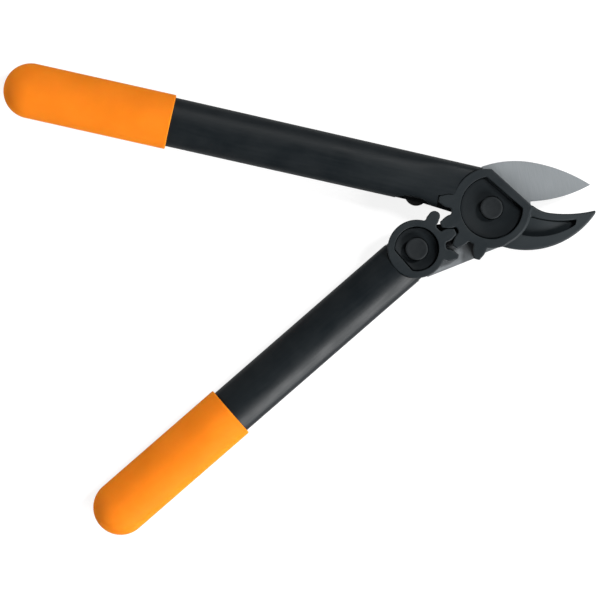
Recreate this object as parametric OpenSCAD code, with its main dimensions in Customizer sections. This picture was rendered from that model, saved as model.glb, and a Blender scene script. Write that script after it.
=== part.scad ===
// Geared bypass lopper, lying flat on its back, seen from above as it is held.
// The main pivot stands on the Z axis, and Z = 0 is the surface that the tool rests on.
// The hook, its toothed head and the upper handle are one rigid lever. The steel blade turns on the
// main pivot, and its tail carries the pivot of the lower handle, whose teeth roll on the head's teeth.

/* [Pivots and teeth] */
// Distance between the main pivot and the lever pivot
pivot_spacing = 54; // [50:0.5:58]
// Direction from the main pivot to the lever pivot, with the jaws half open
carrier_angle = 208.8; // [205:0.2:212]
// Turn of the blade from half open to shut
closing_turn = 17; // [12:0.5:17]
// Number of teeth that a full circle of the head would have
head_teeth = 13; // [12:1:14]
// Number of teeth that a full circle of the lever would have
lever_teeth = 10; // [9:1:11]
// Height of the teeth over the pitch circle
tooth_addendum = 3.4; // [2.8:0.1:3.8]
// Depth of the tooth gaps under the pitch circle
tooth_dedendum = 5; // [4.4:0.1:5.4]
// Pressure angle of the teeth
pressure_angle = 28; // [24:0.5:30]
// Thinning of each tooth, along the pitch circle
tooth_backlash = 0.4; // [0.3:0.05:0.8]
// Rounding of the tooth tips
tooth_round = 1.2; // [0.6:0.1:1.5]
// Rounding of the lever's first tooth, which is a blunt nub
nub_round = 2.4; // [1.5:0.1:2.5]
// Further thinning of that nub
nub_thinning = 1; // [0:0.1:1.4]
// Turn of the head's tooth gaps past the line of the two pivots
gap_turn = 3.5; // [2.5:0.1:4.5]
// Distance from the main pivot to the bevelled back of the head's last tooth, which is the stop tab
stop_tab_dist = 27.1; // [26:0.1:29]
// Turn of that bevelled back from the middle of the tab
stop_tab_bevel = 55; // [45:1:65]

/* [Handles] */
// Direction of the upper handle
upper_angle = 167.4; // [165:0.2:169]
// Distance of the upper handle's axis from the main pivot
upper_axis_offset = 8.7; // [7.5:0.1:9.5]
// Direction of the lower handle, with the jaws half open
lower_angle = 221; // [217:0.5:226]
// Reach of the upper handle, from the main pivot to the end of its grip
upper_reach = 318; // [270:1:480]
// Reach of the lower handle, from the lever pivot to the end of its grip
lower_reach = 266; // [230:1:430]
// Width of the shafts
shaft_w = 31.1; // [29:0.1:33]
// Thickness of the shafts
shaft_t = 22; // [21.8:0.1:26]
// Radius of the shafts' narrow sides
shaft_side_r = 8; // [7:0.1:9]
// Wall of the hollow shafts
shaft_wall = 2.6; // [2:0.1:3.2]
// Distance along the upper handle at which its shaft starts
upper_shaft_start = 10; // [8:0.5:14]
// Length of the grips
grip_len = 108; // [90:1:130]
// Wall of the grips
grip_wall = 1.95; // [1.95:0.05:4]

/* [Fork heads] */
// Thickness of both fork heads, from face to face
head_t = 21.8; // [20:0.1:21.9]
// Distance from the main pivot to the straight shoulder of the head
shoulder_dist = 18; // [17.5:0.1:20]
// Direction in which the shoulder of the head faces
shoulder_angle = 49; // [46:0.5:52]
// Rim round the recess in the head
head_rim = 5.7; // [4.5:0.1:7]
// Rim round the recess in the lever
lever_rim = 4.3; // [3.5:0.1:5]
// Distance from the lever pivot to the flat side of its recess
lever_recess_flat = 11.3; // [10.5:0.1:13]
// Depth of both recesses
recess_depth = 3.6; // [3:0.1:4]
// Radius of the head's rear cheek
head_cheek_r = 22; // [18:0.5:24]
// Radius of the lever's rear cheek
lever_cheek_r = 12.6; // [12.4:0.1:12.8]
// Reach of the upper tang into its shaft, from the main pivot
upper_tang_reach = 92; // [88:1:120]
// Reach of the lower tang into its shaft, from the lever pivot
lower_tang_reach = 76; // [72:1:110]

/* [Hook] */
// Thickness of the hook
hook_t = 6.4; // [5:0.1:7.4]
// Distance from the main pivot to the tip of the hook
hook_reach = 65.8; // [62:0.1:66.5]
// Radius of the throat, next to the head
throat_r = 20.5; // [19:0.1:22]
// Place of the throat's centre along X
throat_x = 39.3; // [38.5:0.1:40]
// Place of the throat's centre along Y
throat_y = 17.1; // [16.5:0.1:17.6]
// Radius of the long lip that the branch lies on
lip_r = 80.5; // [70:0.5:100]
// Direction in which the throat runs over into the lip
lip_join_angle = -97.1; // [-100:0.1:-95]
// Radius of the hook's belly
belly_r = 52.5; // [51.5:0.1:53.5]
// Place of the belly's centre along X
belly_x = 22; // [21:0.1:23]
// Place of the belly's centre along Y
belly_y = 25.7; // [25:0.1:26.5]
// Depth of the hook's pocket
pocket_depth = 2.6; // [1.5:0.1:4]
// Radius of the pocket's upper side
pocket_top_r = 61.7; // [58:0.1:66]
// Place of that arc's centre along X
pocket_top_x = 43.4; // [42:0.1:45]
// Place of that arc's centre along Y
pocket_top_y = 53.5; // [52.5:0.1:54]
// Radius of the pocket's lower side
pocket_low_r = 44.8; // [43:0.1:46]
// Place of that arc's centre along X
pocket_low_x = 28.4; // [27:0.1:29]
// Place of that arc's centre along Y
pocket_low_y = 26.6; // [26:0.1:27.5]
// Distance from the main pivot to the far end of the pocket
pocket_reach = 54.2; // [48:0.1:56]

/* [Blade] */
// Thickness of the blade
blade_t = 4; // [3:0.1:4.4]
// Radius of the blade's hub
hub_r = 25; // [23.5:0.1:25.2]
// Radius of the blade's spine over the hub
spine_hub_r = 63.6; // [62:0.1:65]
// Place of that arc's centre along X
spine_hub_x = 15; // [14:0.1:16]
// Place of that arc's centre along Y
spine_hub_y = -33.9; // [-35:0.1:-33]
// Radius of the blade's spine towards the tip
spine_tip_r = 100.7; // [90:0.1:110]
// Direction in which the two arcs of the spine run over into each other
spine_join_angle = 80.2; // [77:0.1:83]
// Radius of the cutting edge
edge_r = 84.4; // [82:0.1:86]
// Place of the cutting edge's centre along X
edge_x = 21.6; // [20.5:0.1:22.5]
// Place of the cutting edge's centre along Y
edge_y = 88.4; // [87.5:0.1:90]
// Width of the ground bevel, on the side away from the hook
bevel_w = 8; // [4:0.5:10]
// Thickness that the bevel leaves at the edge
edge_t = 0.4; // [0.2:0.1:1]
// Radius of the tail round the lever pivot
tail_r = 14; // [12.5:0.1:14.2]
// Radius of the tail's lower corner round the lever pivot
tail_corner_r = 18; // [16:0.1:18.1]
// Narrowing of the tail's upper side, next to the hub
tail_waist = 4; // [3:0.1:4.4]

/* [Pivot hardware] */
// Radius of the pivot bolts
bolt_r = 5; // [4:0.1:5.4]
// Radius of the bolt heads
bolt_head_r = 7.4; // [6.8:0.1:8.5]
// Thickness of the bolt heads
bolt_head_t = 2.4; // [1.6:0.1:2.6]
// Chamfer of the bolt heads
bolt_chamfer = 0.6; // [0.2:0.1:1]
// Wall of the bearing bushes
bush_wall = 1.2; // [0.8:0.1:1.6]
// Radius of the glide washers
glide_r = 11.5; // [9.5:0.1:12]
// Thickness of the glide washers
glide_t = 0.5; // [0.3:0.05:0.7]
// Thickness of the seat washers under the bolt heads
seat_t = 1.2; // [0.8:0.1:1.4]
// Gap between a seat washer and the wall of its recess
seat_gap = 1.1; // [0.6:0.1:1.8]
// Depth of the dish in the seat washers
seat_dish = 0.6; // [0.2:0.05:0.7]
// Width of the nuts across their flats
nut_af = 13; // [11:0.1:14]
// Radius of the washers under the nuts
nut_washer_r = 9; // [8.2:0.1:9.4]
// Thickness of the washers under the nuts
nut_washer_t = 1; // [0.6:0.1:1.6]
// Depth of the seats for the nuts
nut_seat_depth = 3; // [2:0.1:3.6]
// Height of the flat cap that closes each nut
nut_cap_t = 1.4; // [1:0.1:1.8]

/* [Stop and screws] */
// Radius of the rubber stop
stop_r = 7.3; // [6.5:0.1:7.4]
// Place of the stop along the upper handle
stop_along = 48.2; // [46.5:0.1:50]
// Place of the stop below the upper handle's axis
stop_below = 10.6; // [10:0.1:10.8]
// Thickness of the rubber stop
stop_t = 5.6; // [4:0.1:6]
// Radius of the tang screws
screw_r = 1.75; // [1.2:0.05:2.2]
// Radius of the tang screws' heads
screw_head_r = 3.2; // [2.6:0.1:4]
// Thickness of the tang screws' heads
screw_head_t = 1.8; // [1.2:0.1:2.4]
// Depth of the tang screws' heads under the crest of the shaft
screw_sink = 0.4; // [0.2:0.1:0.8]
// Length of the tang screws under the head
screw_len = 5.5; // [4:0.1:6]
// Distance between the two screws of a tang
screw_pitch = 14; // [10:0.5:16]
// Distance from the end of a tang to its outer screw
screw_inset = 9; // [7:0.5:12]

/* [Clearances] */
// Running clearance round the bushes
run_clear = 0.05; // [0.02:0.01:0.1]
// Clearance between pieces that are fitted together and stay still
fit_clear = 0.05; // [0.02:0.01:0.1]
// Gap between the hook and the blade that passes it
shear_gap = 0.1; // [0.05:0.01:0.3]
// Gap round the parts that swing past each other
swing_gap = 0.5; // [0.4:0.05:0.8]
// Gap between a head and the end of its shaft
cope_gap = 0.25; // [0.2:0.05:0.5]

/* [Hidden] */
$fn = 96;

// Colours
shaft_black = [0.17, 0.18, 0.19];
head_black = [0.15, 0.16, 0.17];
hardware_black = [0.12, 0.12, 0.13];
grip_orange = [0.95, 0.52, 0.12];
steel_grey = [0.6, 0.62, 0.64];
rubber_black = [0.08, 0.08, 0.09];

// Reach of cuts that run out past every piece
far = 400;
// Overlap of solids that are joined into one
sink = 1;

// Radii of the two toothed heads
tooth_module = 2 * pivot_spacing / (head_teeth + lever_teeth);
head_pitch_r = tooth_module * head_teeth / 2;
lever_pitch_r = tooth_module * lever_teeth / 2;
head_r = head_pitch_r - tooth_dedendum;
lever_r = lever_pitch_r - tooth_dedendum;
head_tip_r = head_pitch_r + tooth_addendum;

// Directions of the teeth, from the gap that holds the lever's middle tooth
head_step = 360 / head_teeth;
lever_step = 360 / lever_teeth;
middle_gap = carrier_angle + gap_turn;
head_tooth_angles = [for (i = [-1.5, -0.5, 0.5, 1.5]) middle_gap + i * head_step];
middle_tooth = carrier_angle - 180 - gap_turn * head_teeth / lever_teeth;
nub_angle = middle_tooth + lever_step;
lever_tooth_angles = [middle_tooth, middle_tooth - lever_step];

// Levels, measured from the middle of the blade
face_z = head_t / 2;
fork_z = blade_t / 2 + glide_t;
recess_z = face_z - recess_depth;
hook_z = blade_t / 2 + shear_gap;
seat_z = recess_z + seat_t;
nut_seat_z = -face_z + nut_seat_depth;
nut_z = nut_seat_z - nut_washer_t;
mid_z = shaft_t / 2 + grip_wall;

// Section of the shafts: two narrow arcs and two wide arcs that run over into each other
side_x = shaft_w / 2 - shaft_side_r;
wide_r = (pow(side_x, 2) + pow(shaft_t / 2, 2) - pow(shaft_side_r, 2)) / (shaft_t - 2 * shaft_side_r);
wide_y = wide_r - shaft_t / 2;

// Radii of the pivot pieces
bush_r = bolt_r + bush_wall;
nut_seat_r = nut_washer_r + fit_clear;

// Swing of the blade's hub inside the upper shaft
hub_slot_r = spine_hub_y + sqrt(pow(spine_hub_r, 2) - pow(spine_hub_x, 2)) + 2 * swing_gap;

function polar(r, a) = [r * cos(a), r * sin(a)];

lever_at = polar(pivot_spacing, carrier_angle);
lever_shut_at = polar(pivot_spacing, carrier_angle - closing_turn);

// Tooth flanks: the involute of a circle, thinned by the backlash
function involute(r, base) = tan(acos(min(1, base / r))) * 180 / PI - acos(min(1, base / r));
function tooth_half_angle(r, pitch_r, teeth, thinning = 0) =
    90 / teeth - (tooth_backlash + thinning) / 2 / pitch_r * 180 / PI
    + involute(pitch_r, pitch_r * cos(pressure_angle)) - involute(r, pitch_r * cos(pressure_angle));
flank_steps = 5;
tip_steps = 4;

function tooth_side(pitch_r, teeth, round_r, thinning) =
    let (start = pitch_r - tooth_dedendum - sink,
         end = pitch_r + tooth_addendum - round_r,
         end_half = end * sin(tooth_half_angle(end, pitch_r, teeth, thinning)),
         round_side = min(round_r, 0.95 * end_half))
    concat(
        [for (i = [0:flank_steps])
            let (r = start + (end - start) * i / flank_steps)
            polar(r, tooth_half_angle(r, pitch_r, teeth, thinning))],
        [for (i = [1:tip_steps])
            let (a = 90 * i / tip_steps)
            [end + round_r * sin(a), end_half - round_side * (1 - cos(a))]]);

module tooth(pitch_r, teeth, round_r, thinning = 0) {
    side = tooth_side(pitch_r, teeth, round_r, thinning);
    count = len(side);
    polygon(concat(side, [for (i = [count - 1:-1:0]) [side[i][0], -side[i][1]]]));
}

// Frames of the pieces
module at_middle() translate([0, 0, mid_z]) children();
module at_lever() translate([lever_at[0], lever_at[1], mid_z]) children();
module along_upper() at_middle() rotate(upper_angle) translate([0, -upper_axis_offset, 0]) children();
module along_lower() at_lever() rotate(lower_angle) children();

// A ring or a plate between two levels
module between(low, high) translate([0, 0, low]) linear_extrude(high - low) children();

// A half plane in which the distance along a direction stays under a limit
module under(limit, angle) rotate(angle) translate([limit - far, -far]) square([far, 2 * far]);

// A circle with one flat side
module d_outline(r, flat, angle) {
    intersection() {
        circle(r);
        under(flat, angle);
    }
}

// Section of the shafts, grown or shrunk by an even amount
module shaft_section(grow) {
    half = side_x * (wide_r + grow) / (wide_r - shaft_side_r);
    intersection() {
        translate([0, -wide_y]) circle(wide_r + grow);
        translate([0, wide_y]) circle(wide_r + grow);
        square([2 * half, shaft_w], center = true);
    }
    for (side = [-1, 1])
        translate([side * side_x, 0]) circle(shaft_side_r + grow);
}

module shaft_run(grow, from, to) {
    translate([from, 0, 0]) rotate([90, 0, 90]) linear_extrude(to - from) shaft_section(grow);
}

// Round end of a grip: half of the section, swept half a turn
module round_end(grow) {
    rotate(-90) rotate_extrude(angle = 180) intersection() {
        shaft_section(grow);
        translate([0, -shaft_w]) square([shaft_w, 2 * shaft_w]);
    }
}

grip_half_w = shaft_w / 2 + grip_wall;

module grip(reach) {
    body_end = reach - grip_half_w;
    difference() {
        union() {
            shaft_run(grip_wall, reach - grip_len, body_end);
            translate([body_end, 0, 0]) round_end(grip_wall);
        }
        shaft_run(fit_clear, reach - grip_len - sink, body_end);
    }
}

module hollow_shaft(from, reach) {
    difference() {
        shaft_run(0, from, reach - grip_half_w - fit_clear);
        shaft_run(-shaft_wall, from - sink, reach - grip_half_w + sink);
    }
}

// Screws from the back that hold a tang in its shaft
screw_bed_z = -shaft_t / 2 + screw_head_t + screw_sink;

module tang_screw(clear) {
    translate([0, 0, screw_bed_z]) cylinder(r = screw_r + clear, h = screw_len + clear);
    translate([0, 0, screw_bed_z - screw_head_t]) cylinder(r = screw_head_r + clear, h = screw_head_t);
}

module tang_screw_holes(tang_reach) {
    for (i = [0, 1]) translate([tang_reach - screw_inset - i * screw_pitch, 0, 0]) {
        tang_screw(fit_clear);
        translate([0, 0, -far]) cylinder(r = screw_head_r + fit_clear, h = far + screw_bed_z);
    }
}

module tang_screws(tang_reach) {
    for (i = [0, 1]) translate([tang_reach - screw_inset - i * screw_pitch, 0, 0]) tang_screw(0);
}

// Room in the front of the upper shaft and tang for the teeth and for the lever's head when it shuts
module swing_room() {
    side = tooth_side(head_pitch_r, head_teeth, tooth_round, 0);
    flank = [for (i = [0:flank_steps]) [side[i][0], -side[i][1] - cope_gap]];
    end = head_tip_r + sink;
    translate([0, 0, fork_z - swing_gap]) linear_extrude(far) {
        intersection() {
            circle(head_tip_r + swing_gap);
            rotate(head_tooth_angles[0])
                polygon(concat([[0, flank[0][1]]], flank, [[end, flank[flank_steps][1]], [end, head_r], [0, head_r]]));
        }
        translate(lever_shut_at) circle(lever_r + swing_gap);
    }
}

// Slot in which the hub of the blade swings
module hub_slot() between(-fork_z, fork_z) circle(hub_slot_r);
module tail_slot() between(-fork_z, fork_z) circle(tail_corner_r + swing_gap);

module stop_cylinder(clear, low, high) {
    translate([stop_along, stop_below, 0]) between(low, high) circle(stop_r + clear);
}
stop_top_z = -fork_z - swing_gap;

module upper_shaft() {
    color(shaft_black) difference() {
        along_upper() difference() {
            hollow_shaft(upper_shaft_start, upper_reach);
            stop_cylinder(fit_clear, -far, stop_top_z + fit_clear);
            tang_screw_holes(upper_tang_reach);
        }
        at_middle() {
            between(-far, far) circle(head_r + cope_gap);
            hub_slot();
            swing_room();
        }
    }
}

module upper_grip() {
    color(grip_orange) along_upper() grip(upper_reach);
}

// Outline of the toothed head, with its straight shoulder
module head_outline() {
    d_outline(head_r, shoulder_dist, shoulder_angle);
    for (i = [0:2])
        rotate(head_tooth_angles[i]) tooth(head_pitch_r, head_teeth, tooth_round);
    intersection() {
        rotate(head_tooth_angles[3]) tooth(head_pitch_r, head_teeth, tooth_round);
        under(stop_tab_dist, head_tooth_angles[3] + stop_tab_bevel);
    }
}

// Outline of the hook: a belly arc below, a throat arc and a lip arc above
throat_at = [throat_x, throat_y];
lip_at = throat_at - polar(lip_r - throat_r, lip_join_angle);
lip_join = lip_at + polar(lip_r, lip_join_angle);
belly_at = [belly_x, belly_y];
shoulder_half = sqrt(pow(head_r, 2) - pow(shoulder_dist, 2));
shoulder_low = polar(shoulder_dist, shoulder_angle) - polar(shoulder_half, shoulder_angle + 90);

module hook_outline() {
    difference() {
        intersection() {
            translate(belly_at) circle(belly_r);
            circle(hook_reach);
            translate([bolt_r, -far]) square([far, far + shoulder_low[1]]);
        }
        translate(throat_at) circle(throat_r);
        intersection() {
            translate(lip_at) circle(lip_r);
            translate([lip_join[0], -far]) square([far, 2 * far]);
        }
    }
}

// Sunk pocket in the face of the hook
module hook_pocket() {
    difference() {
        intersection() {
            translate([pocket_low_x, pocket_low_y]) circle(pocket_low_r);
            circle(pocket_reach);
            translate([bolt_r, -far]) square([far, far]);
        }
        translate([pocket_top_x, pocket_top_y]) circle(pocket_top_r);
        circle(head_r + sink);
    }
}

// Bores and seats that both fork heads share
module pivot_bores() {
    between(-far, far) circle(bolt_r + fit_clear);
    between(-far, nut_seat_z) circle(nut_seat_r);
}

module hook_jaw() {
    color(head_black) difference() {
        union() {
            difference() {
                along_upper() shaft_run(-shaft_wall - fit_clear, upper_axis_offset, upper_tang_reach);
                at_middle() {
                    hub_slot();
                    swing_room();
                }
                along_upper() {
                    stop_cylinder(fit_clear, -far, stop_top_z + fit_clear);
                    tang_screw_holes(upper_tang_reach);
                }
            }
            at_middle() {
                between(fork_z, face_z) head_outline();
                between(hook_z, hook_z + hook_t) hook_outline();
                between(-face_z, -fork_z) circle(head_cheek_r);
            }
        }
        at_middle() {
            between(recess_z, far) d_outline(head_r - head_rim, shoulder_dist - head_rim, shoulder_angle);
            between(hook_z + hook_t - pocket_depth, far) hook_pocket();
            between(-fork_z, fork_z) circle(glide_r + swing_gap);
            pivot_bores();
        }
    }
}

module stop_bumper() {
    color(rubber_black) along_upper() stop_cylinder(0, stop_top_z - stop_t, stop_top_z);
}

// Pivot pieces, the same for both pivots
module pivot_bolt() {
    shank_low = -mid_z + nut_cap_t + fit_clear;
    chamfer_z = seat_z + bolt_head_t - bolt_chamfer;
    between(seat_z, chamfer_z) circle(bolt_head_r);
    translate([0, 0, chamfer_z])
        cylinder(r1 = bolt_head_r, r2 = bolt_head_r - bolt_chamfer, h = bolt_chamfer);
    between(shank_low, seat_z + sink) circle(bolt_r);
}

module pivot_nut() {
    difference() {
        between(-mid_z, nut_z) circle(nut_af / sqrt(3), $fn = 6);
        between(-mid_z + nut_cap_t, far) circle(bolt_r + fit_clear);
    }
}

module seat_washer(r, flat, angle) {
    dish_r = r - seat_gap;
    difference() {
        between(recess_z, seat_z + seat_dish) d_outline(dish_r, flat - seat_gap, angle);
        translate([0, 0, seat_z]) cylinder(r1 = bolt_head_r + fit_clear, r2 = dish_r, h = seat_dish);
        between(recess_z - sink, far) circle(bolt_r + fit_clear);
    }
}

module nut_washer() {
    between(nut_z, nut_seat_z) difference() {
        circle(nut_washer_r);
        circle(bolt_r + fit_clear);
    }
}

module pivot_bush() {
    between(-fork_z, fork_z) difference() {
        circle(bush_r);
        circle(bolt_r + fit_clear);
    }
}

module glide_washers() {
    for (low = [-fork_z, blade_t / 2]) between(low, low + glide_t) difference() {
        circle(glide_r);
        circle(bush_r + run_clear);
    }
}

module main_pivot_bolt() color(hardware_black) at_middle() pivot_bolt();
module main_pivot_nut() color(hardware_black) at_middle() pivot_nut();
module main_nut_washer() color(hardware_black) at_middle() nut_washer();
module main_pivot_bush() color(steel_grey) at_middle() pivot_bush();
module main_glide_washers() color(steel_grey) at_middle() glide_washers();
module main_seat_washer() {
    color(head_black) at_middle()
        seat_washer(head_r - head_rim, shoulder_dist - head_rim, shoulder_angle);
}

module lever_pivot_bolt() color(hardware_black) at_lever() pivot_bolt();
module lever_pivot_nut() color(hardware_black) at_lever() pivot_nut();
module lever_nut_washer() color(hardware_black) at_lever() nut_washer();
module lever_pivot_bush() color(steel_grey) at_lever() pivot_bush();
module lever_glide_washers() color(steel_grey) at_lever() glide_washers();
module lever_seat_washer() {
    color(head_black) at_lever() seat_washer(lever_r - lever_rim, lever_recess_flat, lower_angle);
}

module upper_tang_screws() color(steel_grey) along_upper() tang_screws(upper_tang_reach);
module lower_tang_screws() color(steel_grey) along_lower() tang_screws(lower_tang_reach);

// Blade: spine arcs above, cutting edge below, hub and tail behind
spine_hub_at = [spine_hub_x, spine_hub_y];
spine_tip_at = spine_hub_at - polar(spine_tip_r - spine_hub_r, spine_join_angle);
spine_join = spine_tip_at + polar(spine_tip_r, spine_join_angle);
edge_at = [edge_x, edge_y];

module blade_leaf() {
    intersection() {
        union() {
            translate(spine_hub_at) circle(spine_hub_r);
            intersection() {
                translate(spine_tip_at) circle(spine_tip_r);
                translate([spine_join[0], -far]) square([far, 2 * far]);
            }
        }
        translate(edge_at) circle(edge_r);
        translate([-bush_r, 0]) square([far, far]);
    }
}

// Tail, along the line of the two pivots. It leaves its round end in these two directions.
tail_end = 30;
tail_top = -110;

module blade_tail() {
    tangent = acos((hub_r - tail_corner_r) / pivot_spacing);
    lever = [pivot_spacing, 0];
    polygon([[0, 0], polar(hub_r, tangent), lever + polar(tail_corner_r, tangent), lever + polar(tail_r, tail_end),
             lever, lever + polar(tail_r, tail_top), [hub_r + 2 * sink, -tail_waist]]);
}

module bevel_ring() {
    translate([edge_at[0], edge_at[1], 0]) rotate_extrude()
        polygon([[edge_r - bevel_w, -blade_t / 2 - sink], [edge_r - bevel_w, -blade_t / 2],
                 [edge_r, blade_t / 2 - edge_t], [edge_r + sink, blade_t / 2 - edge_t],
                 [edge_r + sink, -blade_t / 2 - sink]]);
}

module blade() {
    color(steel_grey) at_middle() difference() {
        union() {
            between(-blade_t / 2, blade_t / 2) circle(hub_r);
            between(-blade_t / 2, blade_t / 2) blade_leaf();
            between(-blade_t / 2, blade_t / 2) rotate(carrier_angle) blade_tail();
            between(-blade_t / 2, blade_t / 2) translate(lever_at) circle(tail_r);
        }
        difference() {
            bevel_ring();
            between(-far, far) circle(hub_r + sink);
        }
        between(-far, far) {
            circle(bush_r + run_clear);
            translate(lever_at) circle(bush_r + run_clear);
        }
    }
}

module lower_shaft() {
    color(shaft_black) difference() {
        along_lower() difference() {
            hollow_shaft(shaft_side_r, lower_reach);
            tang_screw_holes(lower_tang_reach);
        }
        at_lever() between(-far, far) circle(lever_r + cope_gap);
    }
}

module lower_grip() {
    color(grip_orange) along_lower() grip(lower_reach);
}

module lever_outline() {
    circle(lever_r);
    for (angle = lever_tooth_angles)
        rotate(angle) tooth(lever_pitch_r, lever_teeth, tooth_round);
    rotate(nub_angle) tooth(lever_pitch_r, lever_teeth, nub_round, nub_thinning);
}

module lever_gear() {
    color(head_black) difference() {
        union() {
            along_lower() difference() {
                shaft_run(-shaft_wall - fit_clear, 0, lower_tang_reach);
                tang_screw_holes(lower_tang_reach);
            }
            at_lever() {
                between(fork_z, face_z) lever_outline();
                between(-face_z, -fork_z) circle(lever_cheek_r);
            }
        }
        at_lever() {
            between(recess_z, far) d_outline(lever_r - lever_rim, lever_recess_flat, lower_angle);
            tail_slot();
            pivot_bores();
        }
    }
}

upper_shaft();
upper_grip();
hook_jaw();
stop_bumper();
main_pivot_bolt();
main_pivot_nut();
main_seat_washer();
main_nut_washer();
main_pivot_bush();
upper_tang_screws();
blade();
main_glide_washers();
lever_glide_washers();
lower_shaft();
lower_grip();
lever_gear();
lever_pivot_bolt();
lever_pivot_nut();
lever_seat_washer();
lever_nut_washer();
lever_pivot_bush();
lower_tang_screws();
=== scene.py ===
from functools import partial
from math import acos, atan2, copysign, cos, degrees, pi, radians, sin, sqrt, tan

import bmesh
import bpy
import numpy as np
from mathutils import Matrix, Vector
from mathutils.geometry import delaunay_2d_cdt, tessellate_polygon


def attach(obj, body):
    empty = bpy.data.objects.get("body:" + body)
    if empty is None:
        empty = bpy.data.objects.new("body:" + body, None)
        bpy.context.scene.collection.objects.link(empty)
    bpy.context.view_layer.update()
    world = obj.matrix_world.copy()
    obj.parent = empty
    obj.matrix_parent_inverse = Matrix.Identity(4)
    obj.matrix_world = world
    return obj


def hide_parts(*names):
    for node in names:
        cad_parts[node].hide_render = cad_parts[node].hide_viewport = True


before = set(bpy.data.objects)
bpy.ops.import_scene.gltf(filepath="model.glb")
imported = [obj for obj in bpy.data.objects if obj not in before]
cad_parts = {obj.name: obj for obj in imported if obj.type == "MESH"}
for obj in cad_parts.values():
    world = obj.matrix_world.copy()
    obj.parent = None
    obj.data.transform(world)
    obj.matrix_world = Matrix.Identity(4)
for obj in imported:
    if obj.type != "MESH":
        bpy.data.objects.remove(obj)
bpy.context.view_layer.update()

# Sizes in millimetres and degrees, most of them as in the part's source. Levels count from MID_Z.
MM = 0.001
MID_Z = 12.95
ORIGIN = (0, 0)
# Past every face. Cutters that meet end 1 mm apart, so that no two of their ends lie in one plane.
FAR = 30.0
# Clearance between pieces that fit into each other
FIT = 0.05

# Pivots and teeth
PIVOT_SPACING, CARRIER_ANGLE, CLOSING_TURN = 54.0, 208.8, 17.0
HEAD_TEETH, LEVER_TEETH = 13, 10
ADDENDUM, DEDENDUM, PRESSURE_ANGLE, BACKLASH = 3.4, 5.0, 28.0, 0.4
TOOTH_ROUND, TOOTH_FILLET, TIP_SHARE, LAST_THINNING, GAP_TURN = 1.2, 1.6, 0.95, 2.0, 3.5
NUB_ROUND, NUB_THINNING, NUB_BACK = 3.8, 1.2, -1.2
STOP_TAB_DIST, STOP_TAB_BEVEL = 27.1, 55.0
LEVER_START, LEVER_TURN = 110.0, 359.5
FLANK_POINTS, TIP_POINTS, FILLET_POINTS = 16, 9, 8
MODULE = 2 * PIVOT_SPACING / (HEAD_TEETH + LEVER_TEETH)
HEAD_PITCH_R, LEVER_PITCH_R = MODULE * HEAD_TEETH / 2, MODULE * LEVER_TEETH / 2
HEAD_R, LEVER_R = HEAD_PITCH_R - DEDENDUM, LEVER_PITCH_R - DEDENDUM
HEAD_TIP_R = HEAD_PITCH_R + ADDENDUM
MIDDLE_GAP = CARRIER_ANGLE + GAP_TURN
HEAD_ANGLES = [MIDDLE_GAP + i * 360 / HEAD_TEETH for i in (-1.5, -0.5, 0.5, 1.5)]
MIDDLE_TOOTH = CARRIER_ANGLE - 180 - GAP_TURN * HEAD_TEETH / LEVER_TEETH
LEVER_STEP = 360 / LEVER_TEETH

# Shafts and grips. The upper shaft flattens, flares and tapers towards the head.
UPPER_ANGLE, UPPER_OFFSET, UPPER_REACH, UPPER_START = 167.4, 8.7, 318.0, 10.8
LOWER_ANGLE, LOWER_ASIDE, LOWER_REACH, LOWER_START = 221.0, 0.57, 266.0, 10.0
SHAFT_W, SHAFT_T, SHAFT_SIDE_R, SHAFT_WALL, SHAFT_IN_GRIP = 31.1, 22.0, 8.0, 2.6, 12.0
SHAFT_TAPER, SHAFT_TAPER_FROM, SHAFT_FLARE, FLARE_FROM = 0.0048, 144.0, 0.085, 44.0
FLAT_FROM, FLAT_RUN, FLAT_OVER, FLAT_SIDES, FLAT_EDGES = 58.0, 32.0, 0.02, 4.5, 3.2
FINE_RUN, FINE_STEP, COARSE_RINGS = 60.0, 1.5, 12
GRIP_WALL, GRIP_LIP, UPPER_GRIP_LEN, LOWER_GRIP_LEN = 1.95, 0.7, 108.0, 109.8
UPPER_TANG, LOWER_TANG = 92.0, 76.0
UPPER_TANG_RUN, LOWER_TANG_RUN = (20.4, 60), (11.6, 45)
SEAM_Z, SEAM_W, SEAM_BEND = 5.0, 0.5, 5.0
UPPER_SEAM, LOWER_SEAMS = UPPER_ANGLE - 44, (LOWER_ANGLE - 24, LOWER_ANGLE + 24)
HEAD_OVERLAP, LEVER_OVERLAP, CHEEK_GAP, LEVER_BACK_GAP = 0.85, 0.3, 0.2, 0.25
SPLIT_LOW, SPLIT_HIGH = 0.5, 0.6

# Heads, hook and pocket. Edges are (lower, upper), or (mouth, floor) for what is sunk.
FACE_Z, FORK_Z, RECESS_Z = 10.9, 2.5, 4.6
HEAD_EDGES, RECESS_EDGES, HEAD_SOFT, RECESS_SOFT = (0.4, 0.8), (0.35, 0.3), 0.2, 0.5
HEAD_RIM, HEAD_FLAT, HEAD_FLAT_ANGLE, LEVER_RIM, LEVER_FLAT = 5.7, 12.8, 49.0, 4.3, 11.3
HEAD_CHEEK_R, LEVER_CHEEK_R, CHEEK_EDGE, CHEEK_BEVEL = 22.0, 12.6, 0.9, 0.4
SHOULDER_DIST, SHOULDER_ANGLE, HEAD_TOP = 18.1, 47.6, 24.5
HOOK_LOW, HOOK_HIGH, HOOK_EDGES, HOOK_SOFT = 2.1, 8.5, (0.25, 1.3), 0.6
HOOK_SIDE, HOOK_SIDE_DIP, HOOK_SIDE_RAMP, HOOK_COVE = (-74.0, 1.5), 1.1, 12.0, 0.8
POCKET_LOW_AT, POCKET_LOW_R, POCKET_TOP_AT, POCKET_TOP_R = (28.4, 26.6), 44.8, (43.4, 53.5), 61.7
POCKET_GAP, POCKET_TIP_FROM, POCKET_TIP_R, POCKET_SOFT = 0.9, 31.0, 54.2, 0.7
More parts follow.
